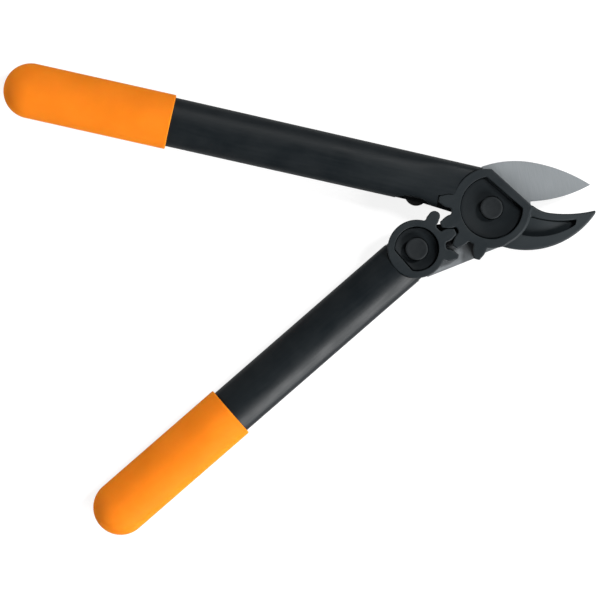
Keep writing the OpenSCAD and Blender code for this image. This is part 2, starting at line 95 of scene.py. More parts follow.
POCKET_STEP, POCKET_DEEP, POCKET_FALL, POCKET_GROOVE, POCKET_GROOVE_W = 1.3, 4.9, 1.6, 0.9, 0.55
POCKET_LOW_EDGE, POCKET_MORE_EDGE = 0.25, 0.65

# Pivot pieces, slots, blade, stop and screws
SEAT_Z, SEAT_RIM_Z, SEAT_GAP, SEAT_SHIFT, SEAT_EDGE, SEAT_DISH = 6.5, 7.8, 0.55, -0.4, 0.35, 1.6
HEAD_FLAT_GAP, LEVER_FLAT_GAP, MOUTH_GAP, MOUTH_DEPTH = 1.4, 0.8, 0.5, 1.2
BOLT_R, BOLT_HEAD_R, BOLT_EDGE, NUT_AF = 5.0, 7.1, 0.75, 13.0
NUT_SEAT_R, NUT_SEAT_Z, NUT_SEAT_EDGE, NUT_Z = 9.05, -7.9, 0.5, -8.9
NUT_WASHER_R, NUT_WASHER_T, NUT_WASHER_EDGE = 9.0, 1.0, 0.25
HUB_SLOT_R, TAIL_SLOT_R, SWING_GAP, FLANK_GAP = 28.9, 19.6, 0.5, 0.25
BLADE_T, HUB_R, TAIL_CORNER_R = 4.0, 25.0, 18.0
# Share of the way from the tail's corner to the hub, and how much fuller the tail is there
TAIL_FULL = ((0.0, 1.05), (0.60, 0.85), (0.72, 0.0))
STOP_R, STOP_ALONG, STOP_BELOW, STOP_HIGH, STOP_LOW, STOP_EDGE = 7.3, 48.2, 10.6, -3.0, -8.6, 0.8
SCREW_PITCH, SCREW_INSET, SCREW_HEAD_R, SCREW_SHANK_R, SCREW_LOW = 14.0, 9.0, 3.2, 1.75, -10.6
SCREW_HEAD_T, SCREW_LEN, SCREW_SOCKET_R, SCREW_SOCKET_T = 1.8, 7.3, 1.45, 1.1


# Outlines

def polar(r, deg):
    return np.array((r * cos(radians(deg)), r * sin(radians(deg))))


LEVER_AT = polar(PIVOT_SPACING, CARRIER_ANGLE)
LEVER_SHUT_AT = polar(PIVOT_SPACING, CARRIER_ANGLE - CLOSING_TURN)


def turned(points, deg):
    a = radians(deg)
    turn = np.array(((cos(a), sin(a)), (-sin(a), cos(a))))
    return np.asarray(points) @ turn


def arc(centre, r, start, end, step=0.4):
    count = max(2, int(abs(radians(end - start)) * r / step) + 1)
    return [np.asarray(centre) + polar(r, a) for a in np.linspace(start, end, count)]


def angle_at(centre, point):
    d = np.asarray(point) - np.asarray(centre)
    return degrees(atan2(d[1], d[0]))


def arc_between(centre, r, first, last):
    """The arc round a centre from the direction of one point to that of another."""
    return arc(centre, r, angle_at(centre, first), angle_at(centre, last))


def ramp(share):
    """A soft rise from 0 to 1."""
    share = np.clip(share, 0, 1)
    return share * share * (3 - 2 * share)


def crossing(c0, r0, c1, r1, near):
    """The point where two circles cross that lies nearer to a given point."""
    c0, c1 = np.asarray(c0, float), np.asarray(c1, float)
    d = np.linalg.norm(c1 - c0)
    along = (c1 - c0) / d
    a = (d * d + r0 * r0 - r1 * r1) / (2 * d)
    h = sqrt(max(0.0, r0 * r0 - a * a))
    side = np.array((-along[1], along[0]))
    found = [c0 + a * along + s * h * side for s in (1, -1)]
    return min(found, key=lambda p: np.linalg.norm(p - np.asarray(near)))


def even(points, step):
    """The closed line again, with evenly spaced points."""
    p = np.asarray(points, float)
    p = np.vstack((p, p[:1]))
    at = np.concatenate(([0], np.cumsum(np.linalg.norm(np.diff(p, axis=0), axis=1))))
    count = max(12, int(at[-1] / step))
    want = np.arange(count) * at[-1] / count
    return np.column_stack([np.interp(want, at, p[:, i]) for i in (0, 1)])


def softened(points, spread, step=0.22):
    """The closed line with its corners rounded over about the given spread."""
    p = even(points, step)
    reach = int(4 * spread / step) + 1
    weight = np.exp(-0.5 * (np.arange(-reach, reach + 1) * step / spread) ** 2)
    weight /= weight.sum()
    padded = np.vstack((p[-reach:], p, p[:reach]))
    return np.column_stack([np.convolve(padded[:, i], weight, "valid") for i in (0, 1)])


def inset(points, amount):
    """The closed line moved inwards (or outwards if negative), by less where it bends too tightly.

    The amount is one number or one for each point.
    """
    bend_share, growth, passes, straight = 0.72, 0.12, 6, 1e-6
    ahead, behind = np.roll(points, -1, axis=0), np.roll(points, 1, axis=0)
    run = ahead - behind
    length = np.linalg.norm(run, axis=1, keepdims=True)
    inward = np.column_stack((-run[:, 1], run[:, 0])) / length
    first, second = points - behind, ahead - points
    bend = first[:, 0] * second[:, 1] - first[:, 1] * second[:, 0]
    spacing = np.linalg.norm(first, axis=1) * np.linalg.norm(second, axis=1)
    way = copysign(1, np.max(amount))
    curve = bend / spacing / (length[:, 0] / 2) * way
    room = np.where(curve > straight, bend_share / np.maximum(curve, straight), np.inf)
    for _ in range(passes):
        room = np.minimum(room, np.minimum(np.roll(room, 1), np.roll(room, -1)) + growth)
    return points + inward * (np.minimum(np.abs(amount), room) * way)[:, None]


def under(points, limit, deg):
    """The closed line cut off where it reaches past a limit in one direction."""
    way = polar(1, deg)
    kept = []
    for a, b in zip(points, np.roll(points, -1, axis=0)):
        da, db = a @ way - limit, b @ way - limit
        if da <= 0:
            kept.append(a)
        if da * db < 0:
            kept.append(a + (b - a) * da / (da - db))
    return np.array(kept)


def belt(c0, r0, c1, r1):
    """The line of a belt drawn tight round two circles."""
    way = angle_at(c0, c1)
    lean = degrees(acos((r0 - r1) / np.linalg.norm(np.subtract(c1, c0))))
    return np.array(arc(c0, r0, way + lean, way - lean + 360) + arc(c1, r1, way - lean, way + lean))


def involute(r, base):
    a = acos(min(1, base / r))
    return degrees(tan(a) - a)


def tooth_side(pitch_r, teeth, round_r, thinning=0.0):
    """One side of a tooth that points along x, from its foot to the middle of its tip."""
    base = pitch_r * cos(radians(PRESSURE_ANGLE))
    thin = degrees((BACKLASH + thinning) / 2 / pitch_r)

    def half(r):
        return 90 / teeth - thin + involute(pitch_r, base) - involute(r, base)

    end = pitch_r + ADDENDUM - round_r
    end_half = end * sin(radians(half(end)))
    side_round = min(round_r, TIP_SHARE * end_half)
    flank = [polar(r, half(r)) for r in np.linspace(pitch_r - DEDENDUM, end, FLANK_POINTS)]
    tip = [(end + round_r * sin(a), end_half - side_round * (1 - cos(a)))
           for a in np.linspace(0, pi / 2, TIP_POINTS)[1:]]
    return np.array([*flank, *tip])


def toothed_line(root_r, start, end, teeth):
    """The root circle from one direction to another, with teeth as (direction, side, other side)."""
    line, at = [], start
    for direction, *sides in teeth:
        edges, feet = [], []
        for side in sides:
            corner = side[0]
            feet.append(angle_at(ORIGIN, corner) + degrees(TOOTH_FILLET / root_r))
            leg, rest = polar(root_r, feet[-1]), side[np.linalg.norm(side - corner, axis=1) > TOOTH_FILLET]
            share = np.linspace(0, 1, FILLET_POINTS)[:-1, None]
            sweep = leg * (1 - share) ** 2 + corner * 2 * share * (1 - share) + rest[0] * share ** 2
            edges.append(np.vstack((sweep, rest)))
        line += arc(ORIGIN, root_r, at, direction - feet[0])[:-1]
        line += list(turned(edges[0] * (1, -1), direction))
        line += list(turned(edges[1][::-1], direction))
        at = direction + feet[1]
    return np.array(line + arc(ORIGIN, root_r, at, end))


def head_dip(deg):
    """How far the edge of the head draws in where it stands on the hook."""
    return HOOK_SIDE_DIP * ramp(min(deg - HOOK_SIDE[0], HOOK_SIDE[1] - deg) / HOOK_SIDE_RAMP)


def head_line():
    half = degrees(acos(SHOULDER_DIST / HEAD_R))
    side = tooth_side(HEAD_PITCH_R, HEAD_TEETH, TOOTH_ROUND)
    line = toothed_line(HEAD_R, SHOULDER_ANGLE + half, SHOULDER_ANGLE - half + 360,
                        [(a, side, side) for a in HEAD_ANGLES])
    line = np.array([p * (1 - head_dip(angle_at(ORIGIN, p)) / np.linalg.norm(p)) for p in line])
    return under(under(line, STOP_TAB_DIST, HEAD_ANGLES[3] + STOP_TAB_BEVEL), HEAD_TOP, 90)


def lever_line():
    tooth = partial(tooth_side, LEVER_PITCH_R, LEVER_TEETH)
    side, last = tooth(TOOTH_ROUND), tooth(TOOTH_ROUND, LAST_THINNING)
    nub = [tooth(NUB_ROUND, thinning) for thinning in (NUB_THINNING, NUB_BACK)]
    first = MIDDLE_TOOTH - LEVER_STEP + 360
    return toothed_line(LEVER_R, LEVER_START, LEVER_START + LEVER_TURN, [
        (first, last, side), (first + LEVER_STEP, side, side), (first + 2 * LEVER_STEP, *nub)])


def d_line(r, flat, deg):
    half = degrees(acos(flat / r))
    return np.array(arc(ORIGIN, r, deg + half, deg - half + 360))


def hook_line():
    belly, belly_r = np.array((22.0, 25.7)), 52.5
    throat, throat_r = np.array((39.3, 17.1)), 20.5
    lip_r, lip_join = 80.5, -97.1
    lip = throat - polar(lip_r - throat_r, lip_join)
    reach, near_tip, corner_in = 65.8, (65, -2), (1.0, 0)
    half = sqrt(HEAD_R ** 2 - SHOULDER_DIST ** 2)
    corner = polar(SHOULDER_DIST, SHOULDER_ANGLE) - polar(half, SHOULDER_ANGLE + 90)
    low_start = (BOLT_R, belly[1] - sqrt(belly_r ** 2 - (belly[0] - BOLT_R) ** 2))
    tip_low = crossing(belly, belly_r, ORIGIN, reach, near_tip)
    tip_high = crossing(lip, lip_r, ORIGIN, reach, near_tip)
    line = arc_between(belly, belly_r, low_start, tip_low)
    line += arc_between(ORIGIN, reach, tip_low, tip_high)
    line += arc(lip, lip_r, angle_at(lip, tip_high), lip_join)
    line += arc(throat, throat_r, lip_join, angle_at(throat, corner))
    return np.array(line + [corner - corner_in, (BOLT_R, corner[1])])


def pocket_line():
    low, top = (POCKET_LOW_AT, POCKET_LOW_R), (POCKET_TOP_AT, POCKET_TOP_R)
    head, tip = (ORIGIN, HEAD_R - HOOK_SIDE_DIP + POCKET_GAP), (ORIGIN, POCKET_TIP_R)
    near_head, near_tip = (20, -12), (52, -10)
    a, b = crossing(*low, *head, near_head), crossing(*low, *tip, near_tip)
    c, d = crossing(*top, *tip, near_tip), crossing(*top, *head, near_head)
    return np.array(arc_between(*low, a, b) + arc_between(*tip, b, c)
                    + arc_between(*top, c, d) + arc_between(*head, d, a))


def pocket_rise(points):
    """0 at the lower edge of the hook's pocket and 1 at its upper edge, and the way to the upper edge."""
    low, top = (np.abs(np.linalg.norm(points - np.array(at), axis=1) - r)
                for at, r in ((POCKET_LOW_AT, POCKET_LOW_R), (POCKET_TOP_AT, POCKET_TOP_R)))
    return low / np.maximum(low + top, 1e-6), top


def pocket_floor(points):
    """Level of the pocket's floor.

    It has a groove and a small step at the upper edge, and falls to the lower edge and the tip.
    """
    rise, top = pocket_rise(points)
    along = (np.linalg.norm(points, axis=1) - POCKET_TIP_FROM) / (POCKET_TIP_R - POCKET_TIP_FROM)
    fall = 1 - (1 - (1 - rise) ** POCKET_FALL) * (1 - np.clip(along, 0, 1) ** 2)
    groove = POCKET_GROOVE * np.exp(-(top / POCKET_GROOVE_W) ** 2) * (1 - fall)
    return HOOK_HIGH - POCKET_STEP - (POCKET_DEEP - POCKET_STEP) * fall - groove


def oval_line(grow):
    """Section of the shafts: across is x and thickness is y."""
    side_x = SHAFT_W / 2 - SHAFT_SIDE_R
    wide_r = (side_x ** 2 + (SHAFT_T / 2) ** 2 - SHAFT_SIDE_R ** 2) / (SHAFT_T - 2 * SHAFT_SIDE_R)
    wide_y = wide_r - SHAFT_T / 2
    meet = degrees(atan2(wide_y, side_x))
    line = arc((side_x, 0), SHAFT_SIDE_R + grow, -meet, meet)
    line += arc((0, -wide_y), wide_r + grow, meet, 180 - meet)
    line += arc((-side_x, 0), SHAFT_SIDE_R + grow, 180 - meet, 180 + meet)
    line += arc((0, wide_y), wide_r + grow, 180 + meet, 360 - meet)
    return np.array(line)


# Solids made of rings

class Rings:
    """Rings of points, bridged one to the next and closed with flat caps."""

    def __init__(self):
        self.points, self.faces = [], []

    def ring(self, line, z):
        first = len(self.points)
        z = np.broadcast_to(z, (len(line),))
        self.points += [(x, y, h) for (x, y), h in zip(line, z)]
        return range(first, len(self.points))

    def bridge(self, a, b):
        n = len(a)
        self.faces += [(a[i], a[(i + 1) % n], b[(i + 1) % n], b[i]) for i in range(n)]

    def stack(self, rings):
        made = [self.ring(line, z) for line, z in rings]
        for a, b in zip(made, made[1:]):
            self.bridge(a, b)
        return made[0], made[-1]

    def cap(self, outer, holes=(), up=True):
        loops = [list(outer), *[list(h) for h in holes]]
        flat = [i for loop in loops for i in loop]
        tris = tessellate_polygon([[Vector(self.points[i]) for i in loop] for loop in loops])
        for tri in tris:
            a, b, c = (Vector(self.points[flat[i]]) for i in tri)
            if (b - a).cross(c - a).z * (1 if up else -1) < 0:
                tri = tri[::-1]
            self.faces.append(tuple(flat[i] for i in tri))

    def closed(self, rings, up=True):
        """A stack with a cap at both ends. The last one faces up, or else the first one."""
        first, last = self.stack(rings)
        self.cap(first, up=not up)
        self.cap(last, up=up)
        return self

    def bed(self, rim, level, step=0.4, margin=0.24):
        """A floor inside a ring, at the levels that a function gives."""
        line = np.array([self.points[i][:2] for i in rim])
        across, up = (np.arange(low, high, step) for low, high in zip(line.min(axis=0), line.max(axis=0)))
        grid = np.array([(x, y) for x in across for y in up])
        ahead = np.roll(line, -1, axis=0)
        x, y = grid[:, :1], grid[:, 1:]
        crossed = (line[:, 1] > y) != (ahead[:, 1] > y)
        slope = np.where(ahead[:, 1] == line[:, 1], 1, ahead[:, 1] - line[:, 1])
        left_of = x < (ahead[:, 0] - line[:, 0]) * (y - line[:, 1]) / slope + line[:, 0]
        inside = (crossed & left_of).sum(axis=1) % 2 == 1
        away = np.sqrt(((grid[:, None] - line[None]) ** 2).sum(axis=2)).min(axis=1)
        grid = grid[inside & (away > margin)]
        first = len(self.points)
        self.points += [(*p, z) for p, z in zip(grid, level(grid))]
        index = [*rim, *range(first, len(self.points))]
        ring = [(i, (i + 1) % len(line)) for i in range(len(line))]
        flat = [Vector(self.points[i][:2]) for i in index]
        inside_only, tolerance = 1, 1e-6
        _, _, faces, source, _, _ = delaunay_2d_cdt(flat, ring, [], inside_only, tolerance)
        self.faces += [tuple(index[source[i][0]] for i in face) for face in faces]

    def mesh(self, name, where=Matrix.Identity(4)):
        mesh = bpy.data.meshes.new(name)
        mesh.from_pydata([Vector(p) * MM for p in self.points], [], self.faces)
        mesh.transform(where)
        bm = bmesh.new()
        bm.from_mesh(mesh)
        bmesh.ops.remove_doubles(bm, verts=bm.verts, dist=1e-7)
        bmesh.ops.recalc_face_normals(bm, faces=bm.faces)
        bm.to_mesh(mesh)
        bm.free()
        return mesh


def quarter(r, count=6):
    """(inset, drop) along a rounded edge, from the wall to the face."""
    return [(r * (1 - cos(a)), r * (1 - sin(a))) for a in np.linspace(0, pi / 2, count)]


# A narrow flat next to each rounded edge, which keeps the shading of the face even
HOLD = 0.16


def plate(line, low, high, edges, sunk=()):
    """A plate with rounded edges.

    Each sunk place is (line, floor, edge rounding, floor rounding). The floor is a level or, where it
    isn't flat, a function that gives the levels of points.
    """
    low_round, high_round = edges
    solid = Rings()
    rings = [(inset(line, low_round + HOLD), low)]
    rings += [(inset(line, d), low + z) for d, z in quarter(low_round)[::-1]]
    rings += [(inset(line, d), high - z) for d, z in quarter(high_round)]
    rings += [(inset(line, high_round + HOLD), high)]
    bottom, top = solid.stack(rings)
    mouths = []
    for sunk_line, floor, edge, cove in sunk:
        down = [(inset(sunk_line, -edge - HOLD), high)]
        down += [(inset(sunk_line, -d), high - z) for d, z in quarter(edge)[::-1]]
        if callable(floor):
            mouth, foot = solid.stack(down + [(sunk_line, floor(sunk_line))])
            solid.bed(foot, floor)
        else:
            down += [(inset(sunk_line, d), floor + z) for d, z in quarter(cove)]
            mouth, foot = solid.stack(down + [(inset(sunk_line, cove + HOLD), floor)])
            solid.cap(foot)
        mouths.append(mouth)
    solid.cap(top, mouths)
    solid.cap(bottom, up=False)
    return solid


def lathe(profile, where, count=72):
    """A turned solid. The profile is (radius, level) from the axis at the top to the axis at the bottom."""
    on_axis = 1e-4
    turn = np.linspace(0, 360, count, endpoint=False)
    rings = [([polar(max(r, on_axis), a) for a in turn], z) for r, z in profile]
    return Rings().closed(rings, up=False).mesh("turned", where)


def prism(line, low, high, where):
    return Rings().closed([(line, low), (line, high)]).mesh("prism", where)


def drum(r, low, high, where, count=160):
    """A plain round cutter."""
    return lathe([(0, high), (r, high), (r, low), (0, low)], where, count)


def shift(x, y=0.0, z=0.0):
    return Matrix.Translation(Vector((x, y, z)) * MM)


def place(at=ORIGIN, deg=0.0, aside=0.0):
    """Where a piece sits: moved aside in a frame that is turned at a pivot."""
    return shift(*at, MID_Z) @ Matrix.Rotation(radians(deg), 4, "Z") @ shift(0, aside)


MAIN = place()
LEVER = place(LEVER_AT)
UPPER = place(deg=UPPER_ANGLE, aside=-UPPER_OFFSET)
LOWER = place(LEVER_AT, LOWER_ANGLE, LOWER_ASIDE)
STOP = UPPER @ shift(STOP_ALONG, STOP_BELOW)


def new_object(name, data):
    obj = bpy.data.objects.new(name, data)
    bpy.context.scene.collection.objects.link(obj)
    return obj


def evaluated(obj):
    """The plain mesh that an object's modifiers give."""
    bpy.context.view_layer.update()
    graph = bpy.context.evaluated_depsgraph_get()
    return bpy.data.meshes.new_from_object(obj.evaluated_get(graph))


def carved(name, first, joined=(), cut=()):
    """One mesh from solids that are joined to the first one and solids that are cut out of it."""
    obj = new_object(name, first)
    for operation, meshes in (("UNION", joined), ("DIFFERENCE", cut)):
        for mesh in meshes:
            other = new_object(name + "_tool", mesh)
            step = obj.modifiers.new("Carve", "BOOLEAN")
            step.operation, step.object, step.solver = operation, other, "EXACT"
            made = evaluated(obj)
            obj.modifiers.clear()
            obj.data = made
            bpy.data.objects.remove(other)
    made = obj.data
    bpy.data.objects.remove(obj)
    return made


def finished(name, mesh, material, body, nodes, sharp=35):
    """A piece of the lopper, in its finish and on its body, in the place of CAD nodes."""
    mesh.name = name
    mesh.materials.clear()
    mesh.materials.append(material)
    mesh.shade_smooth()
    mesh.set_sharp_from_angle(angle=radians(sharp))
    obj = new_object(name, mesh)
    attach(obj, body)
    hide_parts(*nodes)
    return obj


# Finishes

def new_finish(name):
    material = bpy.data.materials.new(name)
    material.use_nodes = True
    return material, material.node_tree


def node(tree, kind, sockets=(), **settings):
    made = tree.nodes.new(kind)
    for key, value in settings.items():
        setattr(made, key, value)
    for key, value in dict(sockets).items():
        if isinstance(value, bpy.types.NodeSocket):
            tree.links.new(value, made.inputs[key])
        else:
            made.inputs[key].default_value = value
    return made


def output(tree, kind, sockets=(), **settings):
    """The first output of a new node."""
    return node(tree, kind, sockets, **settings).outputs[0]


def calc(tree, operation, a, b=0.0, clamp=False):
    return output(tree, "ShaderNodeMath", {0: a, 1: b}, operation=operation, use_clamp=clamp)


def joined_up(material, colour, rough, normal, plain=()):
    """The finish with its nodes linked to the shader, and plain values on the shader's own sockets."""
    tree = material.node_tree
    sockets = tree.nodes["Principled BSDF"].inputs
    for key, value in (("Base Color", colour), ("Roughness", rough), ("Normal", normal)):
        tree.links.new(value, sockets[key])
    for key, value in dict(plain).items():
        sockets[key].default_value = value
    return material


def grain_coords(tree, turn=0.0, stretch=(1, 1, 1)):
    """Object coordinates, turned so that x runs along a piece, and stretched."""
    coords = node(tree, "ShaderNodeTexCoord").outputs["Object"]
    turned_to = output(tree, "ShaderNodeMapping", {"Vector": coords, "Rotation": (0, 0, -radians(turn))})
    return output(tree, "ShaderNodeMapping", {"Vector": turned_to, "Scale": stretch})


def noise(tree, coords, scale, detail=3.0, rough=0.5):
    return output(tree, "ShaderNodeTexNoise",
                  {"Vector": coords, "Scale": scale, "Detail": detail, "Roughness": rough})


def ranged(tree, value, low, high, start=0.3, end=0.7):
    return output(tree, "ShaderNodeMapRange", {0: value, 1: start, 2: end, 3: low, 4: high})


def between_colours(tree, value, dark, light, start=0.3, end=0.7):
    ramped = node(tree, "ShaderNodeValToRGB", {"Fac": value})
    for stop, at, colour in zip(ramped.color_ramp.elements, (start, end), (dark, light)):
        stop.position, stop.color = at, (*colour, 1)
    return ramped.outputs["Color"]


def toned(tree, colour, other, centre, full, none, most=1.0, upright=1.0):
    """A colour that goes over to another one close to a place on the piece, and sooner ends up and down."""
    coords = node(tree, "ShaderNodeTexCoord").outputs["Object"]
    way = output(tree, "ShaderNodeVectorMath", {0: coords, 1: Vector(centre) * MM}, operation="SUBTRACT")
    way = output(tree, "ShaderNodeVectorMath", {0: way, 1: (1, 1, upright)}, operation="MULTIPLY")
    away = node(tree, "ShaderNodeVectorMath", {0: way}, operation="LENGTH").outputs["Value"]
    share = ranged(tree, away, most, 0, full * MM, none * MM)
    return node(tree, "ShaderNodeMix", {0: share, 6: colour, 7: (*other, 1)}, data_type="RGBA").outputs[2]


def bumped(tree, height, depth, below=None):
    made = node(tree, "ShaderNodeBump", {"Height": height, "Distance": depth * MM, "Strength": 1.0})
    if below:
        tree.links.new(below, made.inputs["Normal"])
    return made.outputs[0]


def moulded_black(name, dark, light, rough, shine, grain, turn, painted_light=None):
    """Black glass-filled nylon: a fine moulded grain, flow lines along the piece and a patchy sheen.

    Near one place it is painted lighter, a painted highlight that stands in for light: (place, reach, how
    much more height counts, colour).
    """
    material, tree = new_finish(name)
    plain = grain_coords(tree, turn)
    flow = noise(tree, grain_coords(tree, turn, stretch=(0.08, 1, 1)), scale=700, detail=4)
    patches = noise(tree, plain, scale=55, detail=5, rough=0.6)
    pores = noise(tree, plain, scale=2300, detail=2)
    colour = between_colours(tree, patches, dark, light)
    # Painted highlight: the colour turns lighter towards one place.
    if painted_light:
        painted_light_at, reach, upright, painted_light_colour = painted_light
        colour = toned(tree, colour, painted_light_colour, painted_light_at, 0, reach, upright=upright)
    spread, flow_depth = 0.05, 0.8 * grain
    sheen = calc(tree, "ADD", ranged(tree, patches, rough - spread, rough + spread),
                 ranged(tree, flow, -spread, spread))
    normal = bumped(tree, pores, grain, below=bumped(tree, flow, flow_depth))
    return joined_up(material, colour, sheen, normal, {"Specular IOR Level": shine})


def mottled(name, patches, pores, dark, light, rough, depth, turn=0.0, plain=()):
    """A finish with a patchy colour and sheen and fine pores. Both noises are (scale, detail, roughness)."""
    material, tree = new_finish(name)
    coords = grain_coords(tree, turn)
    patchy, fine = noise(tree, coords, *patches), noise(tree, coords, *pores)
    return joined_up(material, between_colours(tree, patchy, dark, light), ranged(tree, patchy, *rough),
                     bumped(tree, fine, depth), plain)


def satin_orange(name, turn):
    """Soft orange plastic: an even colour with faint clouding, a satin sheen and a fine texture."""
    return mottled(name, (38, 4, 0.55), (1900, 2), dark=(0.70, 0.185, 0.010), light=(0.78, 0.211, 0.013),
                   rough=(0.44, 0.54), depth=0.02, turn=turn, plain={
                       "Specular IOR Level": 0.02, "Subsurface Weight": 0.5,
                       "Subsurface Radius": (1.0, 0.4, 0.1), "Subsurface Scale": 8 * MM})


def ground_steel(name, dark, light, rough, turn, metal, painted_shade=()):
    """Ground steel: fine grinding lines across the piece and faint clouds in the sheen.

    Near some places it is darkened towards black by painted shade: (place, reach of the full tone, reach of
    its edge, depth of tone).
    """
    material, tree = new_finish(name)
    lines = noise(tree, grain_coords(tree, turn, stretch=(1, 0.03, 1)), scale=3000, detail=4)
    clouds = noise(tree, grain_coords(tree, turn), scale=60, detail=4)
    colour = between_colours(tree, lines, dark, light)
    # Painted shade: the colour turns near black round each place.
    for shade_spot in painted_shade:
        colour = toned(tree, colour, (0.008, 0.008, 0.009), *shade_spot)
    line_spread, cloud_spread = 0.06, 0.04
    sheen = calc(tree, "ADD", ranged(tree, lines, rough - line_spread, rough + line_spread),
                 ranged(tree, clouds, -cloud_spread, cloud_spread))
    return joined_up(material, colour, sheen, bumped(tree, lines, depth=0.006), {"Metallic": metal})



SHAFT_TONES = {"dark": (0.0036, 0.0060, 0.0078), "light": (0.0060, 0.0086, 0.0104),
               "rough": 0.43, "shine": 0.22, "grain": 0.012}
# Painted highlight: the upper shaft's crest is painted lighter near the head.
SHAFT_PAINTED_HIGHLIGHT = ((-46, 23, MID_Z + SHAFT_T / 2), 54, 16, (0.0118, 0.0148, 0.0168))
# Painted highlight: the hook's face is painted lighter towards its tip.
HOOK_PAINTED_HIGHLIGHT = ((62, -3, MID_Z + HOOK_HIGH), 82, 26, (0.019, 0.0245, 0.0275))
# Painted shade: the blade's tail is painted darker round the lever's pivot.
TAIL_PAINTED_SHADE = ((*LEVER_AT, MID_Z), 30, 40, 0.38)
# Painted shade: the blade is painted near black where the teeth mesh, in the gaps between the teeth.
TEETH_PAINTED_SHADE = ((*polar(HEAD_PITCH_R, CARRIER_ANGLE), MID_Z + 14), 14.6, 15.9)
UPPER_BLACK = moulded_black("upper_shaft_nylon", **SHAFT_TONES, turn=UPPER_ANGLE, painted_light=SHAFT_PAINTED_HIGHLIGHT)
LOWER_BLACK = moulded_black("lower_shaft_nylon", **SHAFT_TONES, turn=LOWER_ANGLE)
HEAD_BLACK = moulded_black("fork_head_nylon", dark=(0.0062, 0.0098, 0.0122), light=(0.0092, 0.0130, 0.0153),
                           rough=0.54, shine=0.25, grain=0.02, turn=30, painted_light=HOOK_PAINTED_HIGHLIGHT)
WASHER_BLACK = moulded_black("dished_washer_nylon", dark=(0.0036, 0.0060, 0.0076),
                             light=(0.0058, 0.0084, 0.0100), rough=0.54, shine=0.16, grain=0.02, turn=30)
UPPER_ORANGE = satin_orange("upper_grip_orange", UPPER_ANGLE)
LOWER_ORANGE = satin_orange("lower_grip_orange", LOWER_ANGLE)
BLADE_STEEL = ground_steel("ground_blade_steel", dark=(0.207, 0.226, 0.238), light=(0.249, 0.267, 0.279),
                           rough=0.56, turn=12, metal=0.4, painted_shade=(TAIL_PAINTED_SHADE, TEETH_PAINTED_SHADE))
PLAIN_STEEL = ground_steel("plain_steel", dark=(0.50, 0.50, 0.50), light=(0.62, 0.62, 0.62),
                           rough=0.34, turn=0, metal=1.0)
BOLT_BLACK = mottled("black_oxide", (260, 5, 0.6), (3200, 2), dark=(0.0064, 0.0088, 0.0104),
                     light=(0.0102, 0.0128, 0.0145), rough=(0.52, 0.64), depth=0.012,
                     plain={"Metallic": 0.35, "Specular IOR Level": 0.3})
RUBBER = mottled("stop_rubber", (180, 4), (2600, 3), dark=(0.007, 0.008, 0.009),
                 light=(0.013, 0.014, 0.015), rough=(0.62, 0.8), depth=0.03)


# Trees of geometry nodes

def node_tree(name, **inputs):
    """A new tree with the inputs of each kind, the keys that set them and the sockets that give them."""
    tree = bpy.data.node_groups.new(name, "GeometryNodeTree")
    new_socket = tree.interface.new_socket
    keys = {label: new_socket(name=label, in_out="INPUT", socket_type="NodeSocket" + kind).identifier
            for kind, labels in inputs.items() for label in labels}
    new_socket(name="Geometry", in_out="OUTPUT", socket_type="NodeSocketGeometry")
    return tree, keys, tree.nodes.new("NodeGroupInput").outputs


def tree_end(tree, geometry, finish):
    whole = output(tree, "GeometryNodeRealizeInstances", {"Geometry": geometry})
    painted = output(tree, "GeometryNodeSetMaterial", {"Geometry": whole, "Material": finish})
    node(tree, "NodeGroupOutput", {"Geometry": painted})


def sleeve_tree():
    """A sleeve swept along x: a rolled lip at the mouth, a straight run and an end that rounds over."""
    tree, keys, given = node_tree("grip_sleeve", Object=["Section"], Float=["Length", "Half width", "Lip"],
                                  Int=["Rings"], Material=["Finish"])
    new = partial(output, tree)
    add, sub, mul, div, sine, cosine = (partial(calc, tree, kind) for kind in (
        "ADD", "SUBTRACT", "MULTIPLY", "DIVIDE", "SINE", "COSINE"))
    length, half, lip = given["Length"], given["Half width"], given["Lip"]
    lip_end, run_end, quarter_turn = 0.15, 0.5, pi / 2
    line = new("GeometryNodeCurvePrimitiveLine", {"End": (0.1, 0, 0)})
    points = new("GeometryNodeResampleCurve", {"Curve": line, "Count": given["Rings"]})
    share = div(new("GeometryNodeInputIndex"), sub(given["Rings"], 1.0))
    lip_turn = mul(sub(1.0, div(share, lip_end), True), quarter_turn)
    run = div(sub(share, lip_end), run_end - lip_end, True)
    end_turn = mul(div(sub(share, run_end), 1 - run_end, True), quarter_turn)
    x = add(mul(lip, sub(1.0, sine(lip_turn))), mul(sub(sub(length, half), lip), run))
    x = add(x, mul(half, sine(end_turn)))
    size = sub(cosine(end_turn), mul(div(lip, half), sub(1.0, cosine(lip_turn))))
    at = new("ShaderNodeCombineXYZ", {"X": x})
    path = new("GeometryNodeSetPosition", {"Geometry": points, "Position": at})
    section = node(tree, "GeometryNodeObjectInfo", {"Object": given["Section"]}).outputs["Geometry"]
    swept = new("GeometryNodeCurveToMesh",
                {"Curve": path, "Profile Curve": section, "Scale": size, "Fill Caps": True})
    closed = new("GeometryNodeMergeByDistance", {"Geometry": swept, "Distance": 1e-6})
    tree_end(tree, closed, given["Finish"])
    return tree, keys


